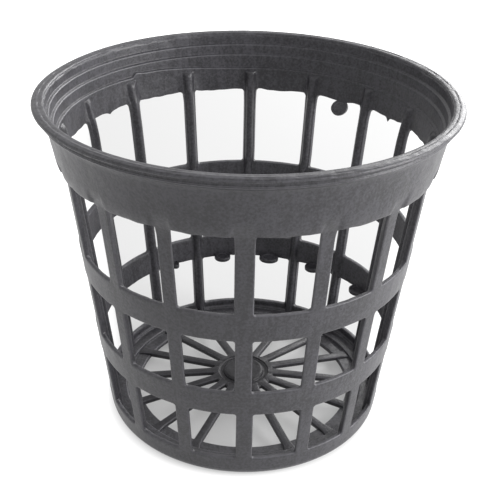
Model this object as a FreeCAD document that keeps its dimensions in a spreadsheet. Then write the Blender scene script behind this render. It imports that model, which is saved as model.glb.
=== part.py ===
"""Net pot for hydroponics: one polypropylene moulding, open at the top.

A thin tapered cup with a plain collar and an outward lip at the mouth. Below the collar, sixteen upright
slats and three hoops leave three tiers of windows. Ribs run up the inside of the slats, and small round
ejector pads stand under the middle hoop. The floor is a shallow cone of sixteen spokes between a ring and
a round hub.

Millimetres and degrees. +Z is up, the origin is the centre of the ring that the pot stands on, and one
slat lies on each of the X and Y axes.
"""
import FreeCAD, Part
import Sketcher
import math
import os

# Driving dimensions. "_r" is a radius from the pot's axis and "_z" a height above the standing ring.
SIZES = {
    "slat_count": 16,
    "wall": 0.9,
    "taper": 0.1164,
    # foot
    "foot_r": 28.67,
    "foot_round": 1.1,
    "stand_r": 26.0,
    # lip and collar, outside
    "rim_r": 40.0,
    "rim_z": 68.9,
    "lip_thick": 1.1,
    "lip_round": 0.4,
    "lip_root_r": 38.8,
    "groove_r": 38.35,
    "groove_z": 67.2,
    "bead_r": 38.75,
    "bead_z": 66.6,
    "bead_low_z": 66.0,
    "waist_r": 36.85,
    "waist_z": 61.4,
    "collar_r": 36.1,
    "collar_z": 56.6,
    "flare_z": 52.5,
    # lip and collar, inside
    "mouth_r": 37.6,
    "step_z": 66.4,
    "step_deep": 0.3,
    "throat_r": 36.3,
    "throat_z": 65.0,
    "ledge_r": 35.95,
    "ledge_z": 62.0,
    "ledge_deep": 0.25,
    # windows: the lower and upper edge of each tier, and the slat left between two windows
    "low_sill_z": 4.96,
    "low_head_z": 16.57,
    "mid_sill_z": 22.09,
    "mid_head_z": 34.32,
    "top_sill_z": 40.21,
    "slat_wide": 2.8,
    # ribs behind the slats
    "rib_wide": 1.6,
    "rib_deep": 1.8,
    "rib_top_z": 58.0,
    "rib_end_z": 60.6,
    # floor
    "floor_thick": 1.1,
    "ring_r": 22.8,
    "ring_z": 2.4,
    "corner_z": 1.9,
    "spoke_wide": 1.45,
    "spoke_in_r": 5.5,
    "spoke_in_z": 4.4,
    "spoke_out_r": 24.0,
    "spoke_out_z": 2.2,
    "hub_r": 6.6,
    "hub_z": 4.45,
    "boss_r": 4.0,
    "boss_high": 0.4,
    # ejector pads, and the one that hangs below the collar
    "pad_r": 1.9,
    "pad_reach": 1.2,
    "pad_thick": 0.9,
    "tab_turn": 56.25,
    "tab_tilt": 60.0,
    "tab_drop": 1.3,
}

doc = FreeCAD.newDocument("net_pot")

# ---------------------------------------------------------------- sheet of driving dimensions
sheet = doc.addObject("Spreadsheet::Sheet", "Sizes")
for row, (alias, value) in enumerate(SIZES.items(), start=1):
    sheet.set("A%d" % row, alias)
    sheet.set("B%d" % row, str(value))
    sheet.setAlias("B%d" % row, alias)
doc.recompute()


def measure(formula):
    """Work out a formula such as 'foot_r + taper * collar_z' from the driving dimensions."""
    total = 0.0
    for term in formula.replace(" - ", " + -1 * ").split(" + "):
        product = 1.0
        for factor in term.split(" * "):
            product *= SIZES[factor] if factor in SIZES else float(factor)
        total += product
    return total


def bound(formula):
    """The same formula as an expression that reads the sheet."""
    return " ".join("Sizes." + word if word in SIZES else word for word in formula.split())


def outside(height):
    """Formula for the outside radius of the tapered wall at a height."""
    return "foot_r + taper * " + height


# ---------------------------------------------------------------- body, sketches and features
body = doc.addObject("PartDesign::Body", "net_pot")
body.Label = "net_pot"
origin = {feature.Role: feature for feature in body.Origin.OriginFeatures}


def new_sketch(name, plane="XZ_Plane"):
    """A sketch on one of the body's origin planes."""
    sketch = body.newObject("Sketcher::SketchObject", name)
    sketch.AttachmentSupport = [(origin[plane], "")]
    sketch.MapMode = "FlatFace"
    return sketch


def place(sketch, geometry, vertex, across, up):
    """Hold a sketch point at two formulas bound to the sheet; '0' puts it on an axis."""
    for kind, formula, axis in (("DistanceX", across, -2), ("DistanceY", up, -1)):
        if formula == "0":
            sketch.addConstraint(Sketcher.Constraint("PointOnObject", geometry, vertex, axis))
            continue
        size = measure(formula)
        index = sketch.addConstraint(Sketcher.Constraint(kind, -1, 1, geometry, vertex, size))
        sketch.setExpression("Constraints[%d]" % index, bound(formula))


def outline(sketch, corners):
    """Draw a closed polygon whose corners are pairs of formulas, across and up."""
    points = [FreeCAD.Vector(measure(across), measure(up), 0) for across, up in corners]
    for index, point in enumerate(points):
        after = points[(index + 1) % len(points)]
        sketch.addGeometry(Part.LineSegment(point, after), False)
    for index in range(len(points)):
        after = (index + 1) % len(points)
        sketch.addConstraint(Sketcher.Constraint("Coincident", index, 2, after, 1))
    for index, (across, up) in enumerate(corners):
        place(sketch, index, 1, across, up)


def spin(name, sketch):
    """Turn a section once round the pot's axis."""
    feature = body.newObject("PartDesign::Revolution", name)
    feature.Profile = sketch
    feature.ReferenceAxis = (sketch, ["V_Axis"])
    feature.Angle = 360
    doc.recompute()
    return feature


def pad(name, sketch, formula, midplane):
    """Extrude a section upwards, or to both sides of its plane."""
    feature = body.newObject("PartDesign::Pad", name)
    feature.Profile = sketch
    feature.Midplane = midplane
    feature.Length = measure(formula)
    feature.setExpression("Length", bound(formula))
    doc.recompute()
    return feature


def all_round(name, features):
    """Repeat features once for each slat."""
    pattern = body.newObject("PartDesign::PolarPattern", name)
    pattern.Originals = features
    pattern.Axis = (origin["Z_Axis"], [""])
    pattern.Angle = 360
    pattern.Occurrences = SIZES["slat_count"]
    pattern.setExpression("Occurrences", "Sizes.slat_count")
    body.Tip = pattern
    doc.recompute()
    return pattern


# ---------------------------------------------------------------- wall, collar, lip and floor ring
# One section turned round the axis: up the outside from the standing ring, over the lip, down the inside.
wall_section = new_sketch("wall_section")
outline(wall_section, [
    ("ring_r", "ring_z - floor_thick"),
    ("stand_r", "0"),
    ("foot_r - foot_round", "0"),
    (outside("foot_round"), "foot_round"),
    (outside("flare_z"), "flare_z"),
    ("collar_r", "collar_z"),
    ("waist_r", "waist_z"),
    ("groove_r", "bead_low_z"),
    ("bead_r", "bead_z"),
    ("groove_r", "groove_z"),
    ("lip_root_r", "rim_z - lip_thick"),
    ("rim_r - lip_round", "rim_z - lip_thick"),
    ("rim_r", "rim_z - lip_thick + lip_round"),
    ("rim_r", "rim_z - lip_round"),
    ("rim_r - lip_round", "rim_z"),
    ("mouth_r", "rim_z"),
    ("mouth_r", "step_z"),
    ("mouth_r - step_deep", "step_z"),
    ("throat_r", "throat_z"),
    ("ledge_r", "ledge_z"),
    ("ledge_r - ledge_deep", "ledge_z"),
    ("collar_r - wall", "collar_z"),
    (outside("flare_z") + " - wall", "flare_z"),
    (outside("corner_z") + " - wall", "corner_z"),
    ("ring_r", "ring_z"),
])
wall = spin("wall", wall_section)

# ---------------------------------------------------------------- windows
# Each window is cut square to the middle of its panel, from the axis outwards. Its sides follow the slats,
# so it widens with the taper.
half_step = 180.0 / SIZES["slat_count"]


def half_window(height):
    """Half the window's width at a height, as a number and as an expression that reads the sheet."""
    turn = math.radians(half_step)
    size = measure(outside(height)) * math.sin(turn) - 0.5 * SIZES["slat_wide"] * math.cos(turn)
    sine = "sin(180 deg / Sizes.slat_count)"
    cosine = "cos(180 deg / Sizes.slat_count)"
    text = "(%s) * %s - 0.5 * Sizes.slat_wide * %s" % (bound(outside(height)), sine, cosine)
    return size, text


def window(name, sill, head):
    """Cut one window between the heights of its sill and its head."""
    sketch = new_sketch(name + "_outline")
    upright = FreeCAD.Vector(0, 1, 0)
    sketch.AttachmentOffset = FreeCAD.Placement(FreeCAD.Vector(), FreeCAD.Rotation(upright, half_step))
    (sill_half, sill_text), (head_half, head_text) = half_window(sill), half_window(head)
    corners = [
        FreeCAD.Vector(-sill_half, SIZES[sill], 0),
        FreeCAD.Vector(sill_half, SIZES[sill], 0),
        FreeCAD.Vector(head_half, SIZES[head], 0),
        FreeCAD.Vector(-head_half, SIZES[head], 0),
    ]
    for side in range(4):
        sketch.addGeometry(Part.LineSegment(corners[side], corners[(side + 1) % 4]), False)
    for side in range(4):
        sketch.addConstraint(Sketcher.Constraint("Coincident", side, 2, (side + 1) % 4, 1))
    # sides are 0 sill, 1 right, 2 head, 3 left; each level edge is centred on the panel
    right_ends = ((0, 2, sill, sill_half, sill_text), (2, 1, head, head_half, head_text))
    for side, right_end, height, half, text in right_ends:
        sketch.addConstraint(Sketcher.Constraint("Symmetric", side, 1, side, 2, -2))
        index = sketch.addConstraint(Sketcher.Constraint("DistanceY", -1, 1, side, right_end, SIZES[height]))
        sketch.setExpression("Constraints[%d]" % index, "Sizes." + height)
        index = sketch.addConstraint(Sketcher.Constraint("DistanceX", -1, 1, side, right_end, half))
        sketch.setExpression("Constraints[%d]" % index, text)
    before = body.Tip.Shape.Volume
    cut = body.newObject("PartDesign::Pocket", name)
    cut.Profile = sketch
    cut.Type = "ThroughAll"
    doc.recompute()
    if not cut.Shape.Volume < before:
        raise RuntimeError(name + " cut nothing")
    return cut


windows = all_round("windows", [
    window("low_window", "low_sill_z", "low_head_z"),
    window("mid_window", "mid_sill_z", "mid_head_z"),
    window("top_window", "top_sill_z", "collar_z"),
])

# ---------------------------------------------------------------- ribs behind the slats
# Each rib runs from the floor ring up the inside of a slat and dies into the collar under its ledge.
rib_section = new_sketch("rib_section")
outline(rib_section, [
    (outside("corner_z") + " - rib_deep", "corner_z - 0.5 * floor_thick"),
    (outside("corner_z") + " - 0.5 * wall", "corner_z - 0.5 * floor_thick"),
    (outside("flare_z") + " - 0.5 * wall", "flare_z"),
    ("collar_r - 0.5 * wall", "collar_z"),
    ("ledge_r", "rib_end_z"),
    ("ledge_r - ledge_deep", "rib_end_z"),
    ("collar_r - rib_deep", "rib_top_z"),
    (outside("flare_z") + " - rib_deep", "flare_z"),
])
ribs = all_round("ribs", [pad("rib", rib_section, "rib_wide", True)])

# ---------------------------------------------------------------- floor
# Sixteen spokes climb from the ring to a round hub with a low boss on it.
spoke_section = new_sketch("spoke_section")
outline(spoke_section, [
    ("spoke_in_r", "spoke_in_z - floor_thick"),
    ("spoke_out_r", "spoke_out_z - floor_thick"),
    ("spoke_out_r", "spoke_out_z"),
    ("spoke_in_r", "spoke_in_z"),
])
spokes = all_round("spokes", [pad("spoke", spoke_section, "spoke_wide", True)])

hub_section = new_sketch("hub_section")
outline(hub_section, [
    ("0", "hub_z - floor_thick"),
    ("hub_r", "hub_z - floor_thick"),
    ("hub_r", "hub_z"),
    ("boss_r", "hub_z"),
    ("boss_r", "hub_z + boss_high"),
    ("0", "hub_z + boss_high"),
])
hub = spin("hub", hub_section)

# ---------------------------------------------------------------- ejector pads
# A disc stands inside the middle hoop at every panel, level with the hoop's lower edge.
disc_outline = new_sketch("disc_outline", "XY_Plane")
turned = FreeCAD.Rotation(FreeCAD.Vector(0, 0, 1), half_step)
disc_foot = FreeCAD.Vector(0, 0, SIZES["low_head_z"])
disc_outline.AttachmentOffset = FreeCAD.Placement(disc_foot, turned)
disc_outline.setExpression(".AttachmentOffset.Base.z", "Sizes.low_head_z")
disc_r = outside("low_head_z") + " - wall - pad_reach"
disc_centre = FreeCAD.Vector(measure(disc_r), 0, 0)
disc_outline.addGeometry(Part.Circle(disc_centre, FreeCAD.Vector(0, 0, 1), SIZES["pad_r"]), False)
place(disc_outline, 0, 3, disc_r, "0")
disc_size = disc_outline.addConstraint(Sketcher.Constraint("Radius", 0, SIZES["pad_r"]))
disc_outline.setExpression("Constraints[%d]" % disc_size, "Sizes.pad_r")
discs = all_round("discs", [pad("disc", disc_outline, "pad_thick", False)])

# One more disc was left bent down below the collar's lower edge.
tab = body.newObject("PartDesign::AdditiveCylinder", "tab")
tab.Radius = SIZES["pad_r"]
tab.setExpression("Radius", "Sizes.pad_r")
tab.Height = SIZES["pad_thick"]
tab.setExpression("Height", "Sizes.pad_thick")
tab_turn = FreeCAD.Rotation(FreeCAD.Vector(0, 0, 1), SIZES["tab_turn"])
tab_tilt = FreeCAD.Rotation(FreeCAD.Vector(0, 1, 0), -SIZES["tab_tilt"])
tab_r = measure("collar_r - wall")
tab_z = measure("collar_z - tab_drop")
tab_centre = tab_turn.multVec(FreeCAD.Vector(tab_r, 0, tab_z))
tab.Placement = FreeCAD.Placement(tab_centre, tab_turn * tab_tilt)
body.Tip = tab
doc.recompute()

# ---------------------------------------------------------------- check and export
for item in doc.Objects:
    if "Invalid" in item.State or "Error" in item.State:
        raise RuntimeError(item.Name + " did not recompute")
if body.Shape.isNull() or not body.Shape.isValid():
    raise RuntimeError("the body is not a valid shape")
if len(body.Shape.Solids) != 1:
    raise RuntimeError("the pot is not one solid")

os.makedirs("parts", exist_ok=True)
body.Shape.exportStep("parts/net_pot.step")
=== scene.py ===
"""Looks for the hydroponic net pot: one charcoal moulding on a white floor."""
import math

import bmesh
import bpy
import numpy as np
from mathutils import Matrix, Vector


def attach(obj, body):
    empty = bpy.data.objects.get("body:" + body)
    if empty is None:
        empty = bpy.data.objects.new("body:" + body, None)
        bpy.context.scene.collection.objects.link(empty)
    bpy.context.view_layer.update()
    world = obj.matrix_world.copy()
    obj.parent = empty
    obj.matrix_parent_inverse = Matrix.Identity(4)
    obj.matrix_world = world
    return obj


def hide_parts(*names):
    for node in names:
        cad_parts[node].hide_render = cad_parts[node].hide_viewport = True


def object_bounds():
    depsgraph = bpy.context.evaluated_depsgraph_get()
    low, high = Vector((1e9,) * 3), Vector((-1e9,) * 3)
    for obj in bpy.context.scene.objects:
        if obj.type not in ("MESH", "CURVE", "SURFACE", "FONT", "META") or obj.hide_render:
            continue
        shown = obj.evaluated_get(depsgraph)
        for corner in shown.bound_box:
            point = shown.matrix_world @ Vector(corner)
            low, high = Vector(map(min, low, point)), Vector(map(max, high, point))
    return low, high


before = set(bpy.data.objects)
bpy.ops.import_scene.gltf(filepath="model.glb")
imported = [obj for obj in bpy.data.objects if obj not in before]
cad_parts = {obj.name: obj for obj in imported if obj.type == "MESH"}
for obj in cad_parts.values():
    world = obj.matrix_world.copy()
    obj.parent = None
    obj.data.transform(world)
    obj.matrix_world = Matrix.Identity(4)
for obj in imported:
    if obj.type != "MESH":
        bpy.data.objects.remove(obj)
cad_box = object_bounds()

# ---- Slatted wall
# The pot's wall is a tapering basket: sixteen slats joined by hoops, with three tiers of windows under a
# plain collar. It is injection-moulded in one shot with the rest of the pot, in black polypropylene, and each
# slat has a rib with sloping sides down its inner face. Sizes are in millimetres.
PANELS = 16
HALF = math.pi / PANELS
FOOT_R, TAPER = 28.67, 0.1164
WALL, SLAT = 0.9, 2.8
WALL_FOOT_OUT, WALL_FOOT_IN, WALL_TOP_OUT, WALL_TOP_IN = 2.7, 1.2, 61.5, 61.8

# The windows: sill and head of each tier, the radius of their corners, and the rounds and flare of their
# edges.
TIERS = ((4.96, 16.57), (22.09, 34.32), (40.21, 56.6))
COLLAR_EDGE = TIERS[2][1]
CORNER = 0.45
EDGE_OUT, EDGE_IN, FLARE_IN = 0.3, 0.08, 0.12

# The mesh: the sheet above and below a window, the steps in half a corner, along a sill and up a side, and
# the columns of a slat's outer face.
MARGIN = 0.75
ARC, ACROSS, UP = 3, 16, 12
SLAT_OUT = np.array([1.02, 0.55, 0.0])

# The rib's section: its height at distances from the slat's middle plane.
RIB_TOP, RIB_ROUND = 61.15, 1.1
RIB_AT = np.array([0.0, 0.2, 0.36, 0.5, 0.61, 0.7, 0.79, 0.88, 0.96, 1.03, 1.1])
RIB_HIGH = np.array([0.82, 0.8, 0.74, 0.64, 0.52, 0.4, 0.27, 0.15, 0.07, 0.02, 0.0])

LEVEL_STEP = 0.1
LEVELS = np.arange(-6.0, 78.0, LEVEL_STEP)


def cone(z):
    """Outer radius of the basket: FOOT_R at the ground, and TAPER more for each mm of height."""
    return FOOT_R + TAPER * z


def softened(heights, radii, blur):
    """Radii by height: straight runs between the given points, averaged by a bell curve blur mm wide."""
    half = 60
    kernel = np.exp(-0.5 * (np.arange(-half, half + 1) * LEVEL_STEP / blur) ** 2)
    runs = np.pad(np.interp(LEVELS, heights, radii), half, mode="reflect", reflect_type="odd")
    return np.convolve(runs, kernel / kernel.sum(), mode="valid")


# The wall's outer and inner face, which flare into the collar, and the slats' own, which do so 2 mm higher.
OUTSIDE = softened([-6, 54.4, 57.6, 61.4, 66.0, 78],
                   [cone(-6), cone(54.4), 36.4, 37.0, 38.2, 41.9], 0.8)
INSIDE = softened([-6, 52.5, 56.6, 62.0, 78],
                  [cone(-6) - WALL, cone(52.5) - WALL, 35.2, 35.7, 37.18], 1.8)
SLAT_FACE = softened([-6, 56.0, 59.4, 61.4, 66.0, 78],
                     [cone(-6), cone(56.0), 36.68, 37.0, 38.2, 41.9], 0.6)
SLAT_BACK = softened([-6, 55.0, 60.0, 62.0, 78],
                     [cone(-6) - WALL, cone(55.0) - WALL, 35.5, 35.7, 37.18], 1.2)


def radius(z, outer):
    """The wall's outer or inner radius at height z, read from its softened table."""
    return np.interp(z, LEVELS, OUTSIDE if outer else INSIDE)


def even_step(value, start, end):
    """An S curve from 0 at start to 1 at end: 3t^2 - 2t^3."""
    t = np.clip((value - start) / (end - start), 0, 1)
    return t * t * (3 - 2 * t)


def rib_spread(z):
    """How much wider the rib is on the collar than on a slat, rising by an S curve from 1 to 1.3."""
    return 1 + 0.3 * even_step(z, 56.2, 58.6)


def ribbed(points):
    """Stand the rib in from the wall: a point d mm from the slat's middle plane moves along that plane to the
    axis by the rib's height at d, which fades as a quarter circle over the last RIB_ROUND of its top."""
    y, x, z = points[..., 0], points[..., 1], points[..., 2]
    d = np.abs(y * math.sin(HALF) - np.abs(x) * math.cos(HALF))
    rise = np.clip((RIB_TOP - z) / RIB_ROUND, 0, 1)
    deep = np.interp(d / rib_spread(z), RIB_AT, RIB_HIGH) * np.sqrt(1 - (1 - rise) ** 2)
    moved = points.copy()
    moved[..., 0] -= deep * math.cos(HALF)
    moved[..., 1] -= deep * math.sin(HALF) * np.sign(x)
    return moved


def grid(points, closed=False, inward=False):
    """Corners (rows, columns, values) and the four-cornered faces between them, joined round when closed."""
    rows, columns = points.shape[:2]
    last = columns if closed else columns - 1
    row, column = np.meshgrid(np.arange(rows - 1), np.arange(last), indexing="ij")
    after = (column + 1) % columns
    faces = np.stack([row * columns + column, row * columns + after, (row + 1) * columns + after,
                      (row + 1) * columns + column], -1).reshape(-1, 4)
    return points.reshape(-1, points.shape[-1]), faces[:, ::-1] if inward else faces


def stack(parts):
    """One part from several: each part's faces are counted on from the corners before it."""
    bases = np.cumsum([0] + [len(points) for points, _ in parts[:-1]])
    return (np.concatenate([points for points, _ in parts]),
            np.concatenate([faces + base for (_, faces), base in zip(parts, bases)]))


def ringed(part, angles):
    """Copies of a part turned round the axis by each angle a: x cos a - y sin a and x sin a + y cos a."""
    points, faces = part
    c, s = np.cos(angles)[:, None], np.sin(angles)[:, None]
    x, y = points[:, 0], points[:, 1]
    rest = np.broadcast_to(points[:, 2:], (len(angles),) + points[:, 2:].shape)
    copies = np.concatenate([np.stack([x * c - y * s, x * s + y * c], -1), rest], -1)
    shift = np.arange(len(angles))[:, None, None] * len(points)
    return copies.reshape(-1, points.shape[1]), (faces + shift).reshape(-1, 4)


def on_wall(x, z, outer, deep=0.0, edge=0.0):
    """A wall point x mm across its panel: y = sqrt(r(z)^2 - x^2) - deep, kept as (y, x, z, edge)."""
    y = np.sqrt(radius(z, outer) ** 2 - x * x) - deep
    return np.stack([y, x + 0 * y, z + 0 * y, edge + 0 * y], -1)


def beside(d, z, outer, side):
    """A wall point d mm from a slat's middle plane, at the azimuth where r sin(angle) equals d."""
    r = radius(z, outer)
    angle = HALF - np.arcsin(d / r)
    return np.stack([r * np.cos(angle), side * r * np.sin(angle), z + 0 * angle, 0 * angle], -1)


def slat_places(z, outer):
    """Distances from the slat's middle at which the mesh has columns; the rib's widen on the collar."""
    return SLAT_OUT + 0 * z if outer else RIB_AT[::-1] * rib_spread(z)


def half_hole(z):
    """Half the window's width at height z: the panel's half width less half a slat."""
    return cone(z) * math.sin(HALF) - 0.5 * SLAT * math.cos(HALF)


def half_block(z, outer):
    """Half the width of the sheet round a window, which ends where the slat's columns begin."""
    r, d = radius(z, outer), slat_places(np.asarray(z)[..., None], outer).max(-1)
    return r * np.sin(HALF - np.arcsin(d / r))


def across(z, near, outer):
    """Places across the panel at height z, close together beside the corners of the sill or head at near."""
    inner, wide = half_hole(near) - CORNER, half_block(z, outer)
    return np.concatenate([np.linspace(-wide, -inner, ARC, endpoint=False),
                           np.linspace(-inner, inner, ACROSS + 1),
                           np.linspace(inner, wide, ARC + 1)[1:]])


def upward(sill, head):
    """Heights beside a window, with the same counts as its outline."""
    return np.concatenate([np.linspace(sill - MARGIN, sill + CORNER, ARC, endpoint=False),
                           np.linspace(sill + CORNER, head - CORNER, UP + 1),
                           np.linspace(head - CORNER, head + MARGIN, ARC + 1)[1:]])


def sheet_border(sill, head, outer):
    """The outer border of the sheet round a window, in the order of the window's outline."""
    low, high, levels = sill - MARGIN, head + MARGIN, upward(sill, head)
    wide = half_block(levels, outer)
    bottom, top = across(low, sill, outer)[:-1], across(high, head, outer)[:0:-1]
    x = np.concatenate([bottom, wide[:-1], top, -wide[:0:-1]])
    z = np.concatenate([0 * bottom + low, levels[:-1], 0 * top + high, levels[:0:-1]])
    return x, z


def window_outline(sill, head):
    """Four straight sides joined by quarter circles: corner + radius (out1 cos t + out2 sin t), where out1
    and out2 point away from the window across its two sides. Gives the places and those directions."""
    low, high = half_hole(sill), half_hole(head)
    corners = np.array([[-low, sill], [low, sill], [high, head], [-high, head]])
    along = np.roll(corners, -1, 0) - corners
    along /= np.linalg.norm(along, axis=1)[:, None]
    out = np.stack([along[:, 1], -along[:, 0]], 1)
    before = np.roll(out, 1, 0)
    middle = corners + 0.5 * CORNER * (along - np.roll(along, 1, 0) - out - before)
    turn = np.linspace(0, math.pi / 2, 2 * ARC + 1)[:, None]
    ways = before[:, None] * np.cos(turn) + out[:, None] * np.sin(turn)
    places = middle[:, None] + ways * CORNER
    lines, sides = [], []
    for k in range(4):
        count = ACROSS if k % 2 == 0 else UP
        part = np.linspace(0, 1, count + 1)[:, None]
        run = places[k, -1] + (places[(k + 1) % 4, 0] - places[k, -1]) * part
        lines += [places[k, ARC:-1], run, places[(k + 1) % 4, 1:ARC]]
        sides += [ways[k, ARC:-1], out[k] + 0 * run, ways[(k + 1) % 4, 1:ARC]]
    return np.concatenate(lines), np.concatenate(sides)


def window_sheet(sill, head):
    """The sheet round one window as loops of its outline: flat outer face, a quarter round of EDGE_OUT into
    the hole, a side wall that flares by FLARE_IN, a small round, and the inner face with its ribs."""
    spots, ways = window_outline(sill, head)
    loops = [on_wall(*sheet_border(sill, head, True), True)]
    # Edge values along the window's edges, which make them paler: wear and painted highlight.
    for t, worn_and_lit in ((0.0, 0.0), (0.34, 0.6), (0.67, 1.0), (1.0, 0.4)):
        s, c = math.sin(t * math.pi / 2), math.cos(t * math.pi / 2)
        place = spots + ways * EDGE_OUT * (1 - s)
        loops.append(on_wall(place[:, 0], place[:, 1], True, EDGE_OUT * (1 - c), worn_and_lit))
    for t, worn_and_lit in ((0.0, 0.3), (0.5, 0.8), (1.0, 0.2)):
        s, c = math.sin(t * math.pi / 2), math.cos(t * math.pi / 2)
        place = spots + ways * (FLARE_IN + EDGE_IN * (1 - c))
        loops.append(ribbed(on_wall(place[:, 0], place[:, 1], False, -EDGE_IN * (1 - s), worn_and_lit)))
    loops.append(ribbed(on_wall(*sheet_border(sill, head, False), False)))
    return grid(np.array(loops), closed=True)


def half_slats(z, outer):
    """The half slats right and left of a panel, as columns at fixed distances from the slat's middle."""
    places = slat_places(z, outer)
    return beside(places, z, outer, 1), beside(places, z, outer, -1)[:, ::-1]


def slat_strips(levels, outer):
    """The two half slats beside a window, as two meshes."""
    return [grid(side if outer else ribbed(side), inward=not outer)
            for side in half_slats(levels[:, None], outer)]


def plain_band(levels, near_low, near_high, outer):
    """A band from slat to slat: its columns run straight from those of the window below to those above."""
    z, t = levels[:, None], ((levels - levels[0]) / (levels[-1] - levels[0]))[:, None]
    first, last = across(levels[0], near_low, outer), across(levels[-1], near_high, outer)
    middle = on_wall((first + (last - first) * t)[:, 1:-1], z, outer)
    right, left = half_slats(z, outer)
    points = np.concatenate([left, middle, right], 1)
    return grid(points if outer else ribbed(points), inward=not outer)


def waver(angle, waves, seed):
    """An uneven line round the pot, about -1 to 1: sines of several whole waves a turn, each with a start and
    a weight drawn once."""
    pick = np.random.default_rng(seed)
    start, weight = pick.uniform(0, 2 * math.pi, len(waves)), pick.uniform(0.5, 1, len(waves))
    line = sum(w * np.sin(n * angle + a) for n, a, w in zip(waves, start, weight))
    return line / np.sqrt((weight ** 2).sum())


def bump(degrees, middle, wide):
    """A bell of height 1 round one azimuth: exp(-(offset / wide)^2), all in degrees."""
    return np.exp(-(((degrees - middle + 180) % 360 - 180) / wide) ** 2)


# Faults of the moulding, by turn round the pot in degrees. The lowest ledge inside the mouth: its level, and
# how far it rises from it.
LEDGE_Z = 62.0
LEDGE_TURN = np.array([-180, -80, -40, 0, 60, 86, 93, 102, 108, 115, 123, 129, 133.2, 133.9, 180])
LEDGE_UP = np.array([0, 0, -0.3, -0.5, -0.5, -0.55, -0.64, -0.5, -0.25, 0.05, 0.4, 0.5, 0.9, 0, 0])
# The slats: how far each has set askew near its top and near its foot. The sides of the wide one stand out by
# WIDE_BY, and WIDE_MORE above the middle hoop, and those of the narrow one stand in.
SLAT_TURN = np.array([-180, -135, -112.5, -90, -67.5, -45, -22.5, 0, 22.5, 45, 67.5, 90, 112.5, 135, 180])
SET_TOP = np.array([0, 0.7, -0.42, -0.19, 0.1, 0.5, 0, 0, 0, -1.26, -1.06, -0.38, 0, 0.16, 0])
SET_LOW = np.array([0, 0, 0.45, 0.72, 1.1, 0.6, 0, 0, 0, 0, 0, 0, 0, 0, 0])
WIDE_TURN, WIDE_BY, WIDE_MORE = -90, 0.22, 0.12
NARROW_TURN, NARROW_BY = 157.5, -0.28
# Nubs of flash on the collar's lower edge: turn, depth in mm and width in degrees.
NUBS = ((33.75, 1.0, 0.7), (146.25, 0.6, 1.0))
# The lower edge of the collar droops between the slats by twice this, at the inner face.
DROOP = 0.22


def short_shot(x, y, z, inside):
    """Rise of the ledge inside the mouth by azimuth, full at its level and fading out 1.7 mm below it and
    2.3 mm above it: it wanders by 1.5 mm and ends in a sharp step behind a rib."""
    below, above = even_step(z, LEDGE_Z - 1.7, LEDGE_Z - 0.1), np.clip((LEDGE_Z + 2.3 - z) / 2.3, 0, 1)
    rise = np.interp(np.degrees(np.arctan2(y, x)), LEDGE_TURN, LEDGE_UP)
    return rise * np.where(z < LEDGE_Z, below, above) * inside


def set_askew(degrees, z):
    """Turn of the slats that have set askew, up to 1.3 degrees: in full above 44 mm and below 17.5 mm, and
    none from 23 to 30 mm."""
    top, foot = even_step(z, 30, 44), 1 - even_step(z, 17.5, 23)
    return np.interp(degrees, SLAT_TURN, SET_TOP) * top + np.interp(degrees, SLAT_TURN, SET_LOW) * foot


def spread(degrees, r, middle, by):
    """Push of the two sides of the slat at one azimuth away from its middle by so many mm, in full 1.2 mm
    from the middle and fading out by 5.2 mm."""
    off = np.radians((degrees - middle + 180) % 360 - 180) * r
    return by * np.clip(off / 1.2, -1, 1) * (1 - even_step(np.abs(off), 1.4, 5.2))


def slope_kept(degrees, r, z, depth):
    """How much further in the slats' faces lie than the collar's, in full to 1.3 mm from their middles and
    fading out by 2.1 mm: the difference of the tables, shared between the two faces by depth."""
    step = math.degrees(HALF)
    aside = np.radians(np.abs((degrees + step) % (2 * step) - step)) * r
    later = (radius(z, True) - np.interp(z, LEVELS, SLAT_FACE)) * (1 - depth)
    later += (radius(z, False) - np.interp(z, LEVELS, SLAT_BACK)) * depth
    return later * (1 - even_step(aside, 1.3, 2.1))


def uneven_edges(turn, degrees, z, depth):
    """Rise of the windows' edges: along the collar's an uneven line, the droop as cos(16 turn) and the nubs,
    and along every sill and head a fainter line. Each fades from its edge as a bell."""
    ragged = (0.05 + 0.07 * depth) * waver(turn, (7, 11, 17, 29, 46, 71), 5)
    ragged += DROOP * depth * np.cos(PANELS * turn)
    ragged -= depth * sum(deep * bump(degrees, at, wide) for at, deep, wide in NUBS)
    faint = 0.05 * waver(turn, (11, 26, 47, 90), 8) * depth
    edges = sum(np.exp(-((z - level) / 0.6) ** 2) for tier in TIERS for level in tier)
    return ragged * np.exp(-((z - COLLAR_EDGE) / 0.7) ** 2) + faint * edges


def with_faults(part):
    """The wall with the faults of its moulding. Depth runs from 0 at the outer face to 1 at the inner one."""
    points, faces = part
    x, y, z, edge = points.T
    r, degrees = np.hypot(x, y), np.degrees(np.arctan2(y, x))
    depth = np.clip((radius(z, True) - r) / WALL, 0, 1)
    push = spread(degrees, r, WIDE_TURN, WIDE_BY + WIDE_MORE * even_step(z, 36, 42))
    push += spread(degrees, r, NARROW_TURN, NARROW_BY * even_step(z, 24, 40))
    turn = np.radians(degrees + set_askew(degrees, z)) + push / r
    r = r - slope_kept(degrees, r, z, depth)
    level = z + uneven_edges(turn, degrees, z, depth)
    level += short_shot(x, y, z, (depth > 0.6) & (z > 57))
    return np.column_stack([r * np.cos(turn), r * np.sin(turn), level, edge]), faces


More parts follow.
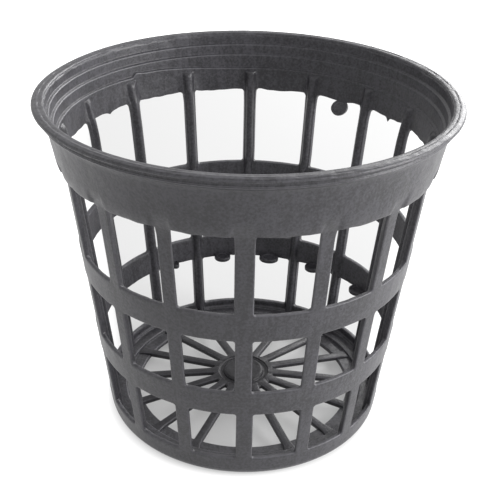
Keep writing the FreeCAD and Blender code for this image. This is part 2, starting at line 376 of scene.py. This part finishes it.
def make_piece(name, part, material):
    """One mesh object in metres at the origin, its doubles merged, with soft shading and its edge values."""
    points, faces = part
    mesh = bpy.data.meshes.new(name)
    mesh.from_pydata((points[:, :3] / 1000).tolist(), [], faces.tolist())
    mesh.attributes.new("edge", "FLOAT", "POINT").data.foreach_set("value", points[:, 3].astype(np.float32))
    work = bmesh.new()
    work.from_mesh(mesh)
    bmesh.ops.remove_doubles(work, verts=work.verts, dist=3e-6)
    work.to_mesh(mesh)
    work.free()
    mesh.polygons.foreach_set("use_smooth", np.ones(len(mesh.polygons), dtype=bool))
    mesh.update()
    mesh.materials.append(material)
    piece = bpy.data.objects.new(name, mesh)
    bpy.context.scene.collection.objects.link(piece)
    return piece


def linear(code):
    """A hex colour as linear values: v / 12.92 up to 0.04045, else ((v + 0.055) / 1.055) ^ 2.4."""
    values = [int(code[k:k + 2], 16) / 255 for k in (1, 3, 5)]
    return [v / 12.92 if v <= 0.04045 else ((v + 0.055) / 1.055) ** 2.4 for v in values] + [1.0]


def node(tree, kind, inputs=None, **settings):
    """Add a node; inputs are values or sockets by name or number."""
    made = tree.nodes.new(kind)
    for key, value in settings.items():
        setattr(made, key, value)
    for key, value in (inputs or {}).items():
        if isinstance(value, bpy.types.NodeSocket):
            tree.links.new(value, made.inputs[key])
        else:
            made.inputs[key].default_value = value
    return made


def scale_for(size_mm):
    """Noise scale whose patches are about size_mm across: one per that many metres."""
    return 1000 / size_mm


# Injection-moulded polypropylene, black with a little grey from regrind: a satin skin with faint flow marks
# up the wall, cloudy patches of gloss and paler edges, partly rubbed by use and partly a painted highlight
# where light catches them. The real mould grain is 0.1 mm, too fine to show, so it is drawn at 0.5 mm. The
# sizes are those of the gloss patches, the waves of the surface, the flow marks and the grain.
CLOUD, SINK, FLOW, GRAIN = 7.0, 3.5, 1.1, 0.5
moulded_polypropylene = bpy.data.materials.new("moulded_polypropylene")
moulded_polypropylene.use_nodes = True
tree = moulded_polypropylene.node_tree
tree.nodes.clear()
place = node(tree, "ShaderNodeTexCoord").outputs["Object"]
edge = node(tree, "ShaderNodeAttribute", attribute_name="edge").outputs["Fac"]
drawn = node(tree, "ShaderNodeMapping", {"Vector": place, "Scale": (1, 1, 0.12)}).outputs[0]
cloud = node(tree, "ShaderNodeTexNoise",
             {"Vector": place, "Scale": scale_for(CLOUD), "Detail": 4.0, "Roughness": 0.65})
flow = node(tree, "ShaderNodeTexNoise",
            {"Vector": drawn, "Scale": scale_for(FLOW), "Detail": 2.0, "Roughness": 0.5})
sink = node(tree, "ShaderNodeTexNoise",
            {"Vector": place, "Scale": scale_for(SINK), "Detail": 1.0, "Roughness": 0.5})
grain = node(tree, "ShaderNodeTexNoise",
             {"Vector": place, "Scale": scale_for(GRAIN), "Detail": 2.0, "Roughness": 0.6})
patch = node(tree, "ShaderNodeMath", {0: cloud.outputs["Fac"], 1: flow.outputs["Fac"]}, operation="ADD")
patch = node(tree, "ShaderNodeMath", {0: patch.outputs[0], 1: 0.5}, operation="MULTIPLY")
speck = node(tree, "ShaderNodeMath", {0: patch.outputs[0], 1: grain.outputs["Fac"]}, operation="ADD")
speck = node(tree, "ShaderNodeMapRange", {"Value": speck.outputs[0], "From Min": 0.84, "From Max": 1.16})
black = node(tree, "ShaderNodeMix", {0: speck.outputs[0], 6: linear("#232226"), 7: linear("#403f44")},
             name="black", data_type="RGBA")
# Edges paler by their edge value: partly wear, partly a painted highlight on edges that catch the lamps.
rubbed_and_lit = node(tree, "ShaderNodeMath", {0: edge, 1: patch.outputs[0]}, operation="MULTIPLY")
worn_and_lit = node(tree, "ShaderNodeMix", {0: rubbed_and_lit.outputs[0], 6: black.outputs[2], 7: linear("#656469")},
            data_type="RGBA")
gloss = node(tree, "ShaderNodeMapRange", {"Value": patch.outputs[0], "From Min": 0.3, "From Max": 0.7,
                                          "To Min": 0.37, "To Max": 0.49})
wave = node(tree, "ShaderNodeBump", {"Height": sink.outputs["Fac"], "Strength": 0.3, "Distance": 0.0006})
lines = node(tree, "ShaderNodeBump", {"Height": flow.outputs["Fac"], "Strength": 0.25, "Distance": 0.0001,
                                      "Normal": wave.outputs["Normal"]})
skin = node(tree, "ShaderNodeBump", {"Height": grain.outputs["Fac"], "Strength": 0.5, "Distance": 0.0001,
                                     "Normal": lines.outputs["Normal"]})
body = node(tree, "ShaderNodeBsdfPrincipled", {"Base Color": worn_and_lit.outputs[2], "Roughness": gloss.outputs[0],
                                               "IOR": 1.5, "Normal": skin.outputs["Normal"]}, name="body")
node(tree, "ShaderNodeOutputMaterial", {"Surface": body.outputs[0]})

# One panel: its three windows with the half slats beside them, and the bands below, between and above them.
# The inner face has closer levels above CLOSE_FROM, for the rib's round top and the uneven ledge.
CLOSE_FROM = 60.0
panel = []
for sill, head in TIERS:
    panel.append(window_sheet(sill, head))
    panel += slat_strips(upward(sill, head), True) + slat_strips(upward(sill, head), False)
(low_sill, low_head), (mid_sill, mid_head), (top_sill, top_head) = TIERS
levels_out = np.linspace(top_head + MARGIN, WALL_TOP_OUT, 6)
levels_in = np.concatenate([np.linspace(top_head + MARGIN, CLOSE_FROM, 7)[:-1],
                            np.linspace(CLOSE_FROM, WALL_TOP_IN, 13)])
for outer, foot, levels in ((True, WALL_FOOT_OUT, levels_out), (False, WALL_FOOT_IN, levels_in)):
    panel.append(plain_band(np.linspace(foot, low_sill - MARGIN, 4), low_sill, low_sill, outer))
    panel.append(plain_band(np.linspace(low_head + MARGIN, mid_sill - MARGIN, 5), low_head, mid_sill, outer))
    panel.append(plain_band(np.linspace(mid_head + MARGIN, top_sill - MARGIN, 5), mid_head, top_sill, outer))
    panel.append(plain_band(levels, top_head, top_head, outer))
basket = ringed(stack(panel), HALF + 2 * HALF * np.arange(PANELS))
slatted_wall = make_piece("slatted_wall", with_faults(basket), moulded_polypropylene)
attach(slatted_wall, "root")
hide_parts("net_pot")

# ---- Mouth and lip
# The collar flares into a bead, a groove that a tray's hole grips, and a flat lip with soft, slightly nicked
# edges. Inside, three narrow ledges step the mouth in to the wall. It is one moulding with the wall.

# The mesh: columns round the pot, and the longest piece of the turned line.
MOUTH_COLUMNS, MOUTH_STEP = 480, 0.45
# The lip's level and middle, how far its nicks go in and down, and the most that they are multiplied by.
LIP_FROM, LIP_FULL, LIP_MIDDLE = 65.8, 67.6, 38.8
NICK_IN, NICK_DOWN, NICK_MOST = 0.1, 0.08, 1.3
# How low the lip has set: half the dip at both sides, and the dip at the back left, its turn and its width.
DIP_SIDES = 0.12
DIP_BACK, DIP_TURN, DIP_WIDE = 0.15, 160, 17


def rounded(corners, pieces=5):
    """A line through corners (r, z, rounding) with a parabola (1-t)^2 start + 2t(1-t) corner + t^2 end at
    each, cut at half the neighbouring runs. Gives (r, z, edge), and edge is sin(pi t) where it turns left."""
    corners = np.array(corners, dtype=float)
    point, soft = corners[1:-1, :2], corners[1:-1, 2]
    back, ahead = corners[:-2, :2] - point, corners[2:, :2] - point
    back_long, ahead_long = np.linalg.norm(back, axis=1), np.linalg.norm(ahead, axis=1)
    reach = np.minimum(soft, 0.48 * np.minimum(back_long, ahead_long))[:, None]
    start, end = point + back / back_long[:, None] * reach, point + ahead / ahead_long[:, None] * reach
    t = np.linspace(0, 1, pieces + 1)[None, :, None]
    arc = (1 - t) ** 2 * start[:, None] + 2 * t * (1 - t) * point[:, None] + t * t * end[:, None]
    left = back[:, 0] * ahead[:, 1] - back[:, 1] * ahead[:, 0] < 0
    edge = np.sin(math.pi * t) * (left & (soft > 0))[:, None, None]
    line = np.concatenate([arc, edge], -1).reshape(-1, 3)
    ends = np.column_stack([corners[[0, -1], :2], [0, 0]])
    return np.concatenate([ends[:1], line, ends[1:]])


def filled(line, longest):
    """The line with even steps put in, so that no piece is longer than asked, and no two corners alike."""
    line = line[np.append(True, np.linalg.norm(np.diff(line[:, :2], axis=0), axis=1) > 1e-6)]
    steps = np.diff(line, axis=0)
    count = np.ceil(np.linalg.norm(steps[:, :2], axis=1) / longest).astype(int)
    part = (np.arange(count.sum()) - np.repeat(np.cumsum(count) - count, count)) / np.repeat(count, count)
    runs = np.repeat(line[:-1], count, 0) + np.repeat(steps, count, 0) * part[:, None]
    return np.concatenate([runs, line[-1:]])


def revolved(line, columns):
    """Turn a line of (r, z, edge) round the axis: x = r cos a, y = r sin a for even steps of a."""
    a = np.arange(columns) * 2 * math.pi / columns
    r, z, edge = (line[:, k, None] + 0 * a for k in range(3))
    return grid(np.stack([r * np.cos(a), r * np.sin(a), z, edge], -1), closed=True)


def nicked(part):
    """The lip's worn edges: corners move in by up to 0.13 mm and down by up to 0.1 mm where the edge value
    is high, by uneven lines round the pot. The lip has set low at both sides, as DIP_SIDES (1 + cos 2a), and
    at the back left, and the lowest ledge follows the wall's. The edge values are cut for each part of the
    line: most on the right inside, so that the pale edges inside the mouth are a painted highlight on its
    left."""
    points, faces = part
    x, y, z, edge = points.T
    r, a = np.hypot(x, y), np.arctan2(y, x)
    lip = even_step(z, LIP_FROM, LIP_FULL)
    inwards = 0.5 + 0.5 * waver(a, (13, 29, 44, 71, 97, 131, 170), 21)
    downwards = 0.5 + 0.5 * waver(a, (17, 37, 58, 90, 120, 163), 22)
    near = r - np.sign(r - LIP_MIDDLE) * NICK_IN * edge * lip * np.clip(inwards, 0, NICK_MOST)
    level = z - NICK_DOWN * lip * edge * np.clip(downwards, 0, NICK_MOST)
    back = DIP_BACK * bump(np.degrees(a), DIP_TURN, DIP_WIDE)
    level -= lip * (DIP_SIDES + DIP_SIDES * np.cos(2 * a) + back)
    level += short_shot(x, y, z, (r < 36.5) & (z < 64.3))
    # Inside the mouth the edges grow paler from right to left: a painted highlight on the side the lamps
    # light.
    rubbed_and_lit = np.where(r < 38.3, 0.1 + 0.8 * even_step(-x, -12, 12), np.where(z < 67.4, 1.0, 0.5))
    return np.column_stack([near * np.cos(a), near * np.sin(a), level, edge * rubbed_and_lit]), faces


# Up the outside of the collar, over the bead, the groove and the lip, then down over the three ledges.
mouth_line = rounded([
    (radius(61.2, True) - 0.02, 61.2, 0), (radius(61.7, True), 61.7, 0), (37.45, 63.6, 1.6),
    (37.95, 65.5, 1.2), (38.25, 66.2, 0.4),
    (39.0, 66.75, 0.2), (39.0, 67.05, 0.12),
    (38.85, 67.3, 0.2), (38.85, 67.95, 0.2),
    (39.4, 68.1, 0.3), (39.9, 68.16, 0.12), (39.99, 68.5, 0.3), (39.45, 68.9, 0.8), (38.75, 68.88, 0.3),
    (37.72, 68.74, 0.12), (37.6, 68.45, 0.12),
    (37.42, 66.54, 0.12), (36.85, 66.32, 0.18),
    (36.75, 64.46, 0.12), (36.18, 64.24, 0.18),
    (36.08, 62.14, 0.1), (35.53, 61.94, 0.18), (35.52, 61.2, 0)])
mouth_ring = nicked(revolved(filled(mouth_line, MOUTH_STEP), MOUTH_COLUMNS))
mouth_and_lip = make_piece("mouth_and_lip", mouth_ring, moulded_polypropylene)
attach(mouth_and_lip, "root")
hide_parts("net_pot")

# ---- Foot ring
# The wall turns in at the bottom to a standing ring, with a step on its top and a thin flange inside it. The
# mould rounds the outer corner so that the pot slides into its tray.
FOOT_COLUMNS, FOOT_STEP = 256, 0.5

# Down the inside of the wall, in over the step to the flange, under it, and up round the standing ring.
foot_line = rounded([
    (28.1, 3.9, 0), (27.95, 3.5, 0.3), (27.75, 2.95, 0.5),
    (25.55, 2.9, 0.18), (25.35, 2.2, 0.15),
    (22.85, 2.25, 0.2), (22.7, 2.05, 0.15), (22.7, 1.35, 0.2), (23.1, 1.2, 0.2),
    (25.9, 0.02, 0.3), (26.4, 0.0, 0.3), (27.6, 0.0, 0.8),
    (28.72, 1.1, 0.9), (radius(2.5, True), 2.5, 0), (radius(2.9, True) - 0.02, 2.9, 0)])
foot_turned = revolved(filled(foot_line, FOOT_STEP), FOOT_COLUMNS)
foot_ring = make_piece("foot_ring", foot_turned, moulded_polypropylene)
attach(foot_ring, "root")
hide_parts("net_pot")

# ---- Floor grid
# Sixteen thin spokes run from the foot ring up to a dished hub, so that roots and water pass. The hub is a
# boss inside a groove and a rim, and the spokes run on over the rim as low ridges. It is the same shot of
# plastic, drawn darker and less glossy as painted shade for the dim bottom of the pot.

# A spoke: its two ends and the height of its top there, half its width, its depth, the round of its edges,
# and how much wider it gets at each end.
SPOKE_IN, SPOKE_OUT = 5.45, 25.5
SPOKE_TOP_IN, SPOKE_TOP_OUT = 4.5, 2.5
SPOKE_HALF, SPOKE_DEEP, SPOKE_SOFT = 0.84, 1.1, 0.3
SWELL_IN, SWELL_OUT = 0.45, 0.6
HUB_COLUMNS, HUB_STEP = 96, 0.5
# The turned lines of the hub and the pads stop this close to the axis.
POLE = 0.01


def spoke_bar():
    """A bar along x: a rounded rectangle carried from the hub to the ring while its top falls evenly, and
    its sides swell by squares of the distance over its first tenth and its last 0.16."""
    s = np.linspace(0, 1, 16)[:, None]
    turn = np.radians([0, 30, 60, 90])
    a = (turn + np.radians([[0], [90], [180], [270]])).reshape(-1)
    right, up = np.repeat([1, -1, -1, 1], 4), np.repeat([1, 1, -1, -1], 4)
    swell = SWELL_IN * np.clip(1 - s / 0.1, 0, 1) ** 2 + SWELL_OUT * np.clip((s - 0.84) / 0.16, 0, 1) ** 2
    half = SPOKE_HALF + swell
    top = SPOKE_TOP_IN + (SPOKE_TOP_OUT - SPOKE_TOP_IN) * s
    along = SPOKE_IN + (SPOKE_OUT - SPOKE_IN) * s + 0 * a
    aside = right * (half - SPOKE_SOFT) + SPOKE_SOFT * np.cos(a)
    height = top - SPOKE_DEEP / 2 + up * (SPOKE_DEEP / 2 - SPOKE_SOFT) + SPOKE_SOFT * np.sin(a)
    edge = np.tile([0.2, 0.8, 0.8, 0.2], 4) + 0 * half
    return grid(np.stack([along, aside, height, edge], -1), closed=True)


# Out from the middle of the boss, over the groove and the rim, and in again under the hub. It is turned from
# its other end, so that its faces point outwards.
hub_line = rounded([
    (POLE, 4.85, 0), (3.95, 4.85, 0.4), (4.35, 4.5, 0.25),
    (4.42, 4.15, 0.12), (5.25, 4.15, 0.12),
    (5.45, 4.42, 0.18), (6.3, 4.4, 0.3),
    (6.6, 4.15, 0.25), (6.6, 3.5, 0.25), (6.3, 3.3, 0.25), (POLE, 3.3, 0)])
# The floor grid's copy of the plastic: darker colours and a lower IOR, painted shade for the pot's dim
# bottom.
shade_darkened_polypropylene = moulded_polypropylene.copy()
shade_darkened_polypropylene.name = "shade_darkened_polypropylene"
shade_darkened_polypropylene.node_tree.nodes["black"].inputs[6].default_value = linear("#1a191c")
shade_darkened_polypropylene.node_tree.nodes["black"].inputs[7].default_value = linear("#2a292d")
shade_darkened_polypropylene.node_tree.nodes["body"].inputs["IOR"].default_value = 1.4
spokes = ringed(spoke_bar(), 2 * HALF * np.arange(PANELS))
hub = revolved(filled(hub_line, HUB_STEP)[::-1], HUB_COLUMNS)
floor_grid = make_piece("floor_grid", stack([spokes, hub]), shade_darkened_polypropylene)
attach(floor_grid, "root")
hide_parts("net_pot")

# ---- Pads and flap
# Small round pads stand in from the first hoop over windows of the lowest tier, where the mould's ejector
# pins push: four whole ones at the back, and a short one beside them. One more disc hangs askew from the
# collar's edge, a flap of flash left on.

# A pad's radius and thickness, how far its middle stands from the wall at a level, and the dish in its top.
PAD_R, PAD_THICK = 1.9, 0.9
PAD_REACH, REACH_LEVEL = 1.2, 17.0
DISH_R, DISH_DEEP = 1.2, 0.14
PAD_COLUMNS, PAD_STEP = 36, 0.5
# Each pad's turn, its width beside its depth, and how much further in it stands.
PADS = ((101.25, 1.0, 0.0), (78.75, 1.2, 0.25), (56.25, 1.0, 0.0), (28.5, 1.1, -0.4), (125.2, 0.6, -1.0))
# The flap's turn round the pot and its tilt, and where its middle is.
FLAP_TURN, FLAP_TILT, FLAP_R, FLAP_Z = 54.5, -41, 34.4, 55.3


def disc():
    """A flat disc with rounded edges and a shallow dish in its top, turned from its half section."""
    half = PAD_THICK / 2
    line = rounded([(POLE, half - DISH_DEEP, 0), (DISH_R, half - DISH_DEEP, 0.1), (DISH_R + 0.2, half, 0.1),
                    (PAD_R, half, 0.2), (PAD_R, -half, 0.25), (POLE, -half, 0)], 3)
    return revolved(filled(line, PAD_STEP)[::-1], PAD_COLUMNS)


def placed(part, matrix):
    """A part moved by a matrix, with its edge values kept."""
    points, faces = part
    spot = np.array(matrix)
    return np.column_stack([points[:, :3] @ spot[:3, :3].T + spot[:3, 3], points[:, 3]]), faces


discs = []
for turn, wide, further in PADS:
    reach = radius(REACH_LEVEL, True) - WALL - PAD_REACH - further
    where = Matrix.Translation((reach, 0, low_head + PAD_THICK / 2)) @ Matrix.Scale(wide, 4, (0, 1, 0))
    discs.append(ringed(placed(disc(), where), np.radians([turn])))
where = Matrix.Translation((FLAP_R, 0, FLAP_Z)) @ Matrix.Rotation(math.radians(FLAP_TILT), 4, "Y")
discs.append(ringed(placed(disc(), where), np.radians([FLAP_TURN])))
pads_and_flap = make_piece("pads_and_flap", stack(discs), moulded_polypropylene)
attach(pads_and_flap, "root")
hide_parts("net_pot")

# ---- Studio floor
# A matt white board under the pot. It keeps the pot's shadow, and the camera and glossy surfaces see it
# lifted to a clean white, but less so close under the pot and behind it, where a painted shadow leaves it
# light grey. Sizes from here on are in metres.
low, high = cad_box
centre = (low + high) / 2
FLOOR_HALF = 3.0
corners = np.array([(-1, -1), (1, -1), (1, 1), (-1, 1)]) * FLOOR_HALF
mesh = bpy.data.meshes.new("studio_floor")
mesh.from_pydata([(centre.x + x, centre.y + y, low.z) for x, y in corners], [], [(0, 1, 2, 3)])
studio_floor = bpy.data.objects.new("studio_floor", mesh)
bpy.context.scene.collection.objects.link(studio_floor)


def seen(tree):
    """1 for rays from the camera, and for those that a glossy or clear surface sends on, otherwise 0."""
    path = node(tree, "ShaderNodeLightPath")
    direct = node(tree, "ShaderNodeMath",
                  {0: path.outputs["Is Camera Ray"], 1: path.outputs["Is Glossy Ray"]}, operation="MAXIMUM")
    all_seen = node(tree, "ShaderNodeMath",
                    {0: direct.outputs[0], 1: path.outputs["Is Transmission Ray"]}, operation="MAXIMUM")
    return all_seen.outputs[0]


# The painted shadow behind the pot is a wedge: from 30 mm each side of the axis it widens by 0.28 of the way
# back, and ends in a round. It comes in over WEDGE_START behind the axis, and fades out from WEDGE_SOFT of
# its size. Under the pot the painted shade is a little darker, on top of the pot's real shadow there.
WEDGE_HALF, WEDGE_WIDER, WEDGE_ROUND, WEDGE_END = 0.030, 0.28, 0.13, 0.25
WEDGE_START, WEDGE_SOFT = 0.02, 0.76
UNDER_IN, UNDER_OUT = 0.0265, 0.0305
PAINTED_SHADOW_BEHIND, PAINTED_SHADE_UNDER = 0.32, 0.27
white_board = bpy.data.materials.new("matt_white_board")
white_board.use_nodes = True
tree = white_board.node_tree
tree.nodes.clear()
place = node(tree, "ShaderNodeTexCoord").outputs["Object"]
spot = node(tree, "ShaderNodeSeparateXYZ", {0: place})
half = node(tree, "ShaderNodeMath", {0: spot.outputs["Y"], 1: WEDGE_WIDER, 2: WEDGE_HALF},
            operation="MULTIPLY_ADD")
side = node(tree, "ShaderNodeMath", {0: spot.outputs["X"], 1: half.outputs[0]}, operation="DIVIDE")
far = node(tree, "ShaderNodeMapRange",
           {"Value": spot.outputs["Y"], "From Min": WEDGE_ROUND, "From Max": WEDGE_END})
behind = node(tree, "ShaderNodeCombineXYZ", {0: side.outputs[0], 1: far.outputs[0]})
behind = node(tree, "ShaderNodeVectorMath", {0: behind.outputs[0]}, operation="LENGTH")
front = node(tree, "ShaderNodeMapRange",
             {"Value": spot.outputs["Y"], "From Min": 0.0, "From Max": WEDGE_START, "To Min": 1.0,
              "To Max": 0.0})
outside = node(tree, "ShaderNodeMath", {0: behind.outputs["Value"], 1: front.outputs[0]}, operation="MAXIMUM")
# Less lift in the wedge behind the pot: a painted shadow on the board.
lift = node(tree, "ShaderNodeMapRange", {"Value": outside.outputs[0], "From Min": WEDGE_SOFT, "From Max": 1.0,
                                         "To Min": PAINTED_SHADOW_BEHIND, "To Max": 1.0},
            interpolation_type="SMOOTHSTEP")
away = node(tree, "ShaderNodeVectorMath", {0: place}, operation="LENGTH")
under = node(tree, "ShaderNodeMapRange",
             {"Value": away.outputs["Value"], "From Min": UNDER_IN, "From Max": UNDER_OUT})
# Less lift again under the pot: painted shade on top of its real shadow.
lift = node(tree, "ShaderNodeMix", {0: under.outputs[0], 2: PAINTED_SHADE_UNDER, 3: lift.outputs[0]})
lift = node(tree, "ShaderNodeMath", {0: lift.outputs[0], 1: seen(tree)}, operation="MULTIPLY")
matt = node(tree, "ShaderNodeBsdfDiffuse", {"Color": linear("#a8a8a8")})
glow = node(tree, "ShaderNodeEmission", {"Color": (1, 1, 1, 1), "Strength": lift.outputs[0]})
both = node(tree, "ShaderNodeAddShader", {0: matt.outputs[0], 1: glow.outputs[0]})
node(tree, "ShaderNodeOutputMaterial", {"Surface": both.outputs[0]})
studio_floor.data.materials.append(white_board)

# ---- Light
# White light from all round, as in a light tent, and two large soft lamps: one low on the right, and a
# weaker one behind it.
WORLD_LIGHT = 0.62
LAMP_AWAY, LAMP_WIDE = 0.6, 0.4
world = bpy.data.worlds.new("studio")
bpy.context.scene.world = world
world.use_nodes = True
tree = world.node_tree
tree.nodes.clear()
level = node(tree, "ShaderNodeMapRange", {"Value": seen(tree), "To Min": WORLD_LIGHT, "To Max": 1.0})
sky = node(tree, "ShaderNodeBackground", {"Color": (1, 1, 1, 1), "Strength": level.outputs[0]})
node(tree, "ShaderNodeOutputWorld", {"Surface": sky.outputs[0]})


def soft_lamp(name, azimuth, elevation, watts):
    """A round soft lamp at an azimuth and elevation in degrees from the pot's middle, turned towards it."""
    a, e = math.radians(azimuth), math.radians(elevation)
    towards = Vector((math.cos(e) * math.cos(a), math.cos(e) * math.sin(a), math.sin(e)))
    data = bpy.data.lights.new(name, "AREA")
    data.shape = "DISK"
    data.size = LAMP_WIDE
    data.energy = watts
    lamp = bpy.data.objects.new(name, data)
    lamp.location = centre + towards * LAMP_AWAY
    lamp.rotation_euler = (-towards).to_track_quat("-Z", "Y").to_euler()
    bpy.context.scene.collection.objects.link(lamp)


soft_lamp("lamp_right", -12, 21, 4.6)
soft_lamp("lamp_behind", 58, 24, 3.2)

# ---- Camera
# In front of the pot, 190 mm from its middle, looking down at 29 degrees and rolled by one. The lens is long
# enough for the pot to fill the frame.
PITCH, ROLL = math.radians(29.132), math.radians(1.148)
AIM_HIGH, CAMERA_AWAY = 0.0344, 0.1901
target = Vector((centre.x, centre.y, low.z + AIM_HIGH))
camera = bpy.data.objects.new("camera", bpy.data.cameras.new("camera"))
bpy.context.scene.collection.objects.link(camera)
towards_camera = Vector((0, -math.cos(PITCH), math.sin(PITCH)))
look = (-towards_camera).to_track_quat("-Z", "Y").to_matrix().to_4x4()
camera.matrix_world = (Matrix.Translation(target + towards_camera * CAMERA_AWAY) @ look
                       @ Matrix.Rotation(ROLL, 4, "Z"))
camera.data.sensor_width = 36.0
camera.data.lens = 66.94
camera.data.shift_x = 0.0083
camera.data.shift_y = 0.0017
camera.data.clip_start = 0.01
bpy.context.scene.camera = camera
bpy.context.scene.view_settings.view_transform = "Standard"
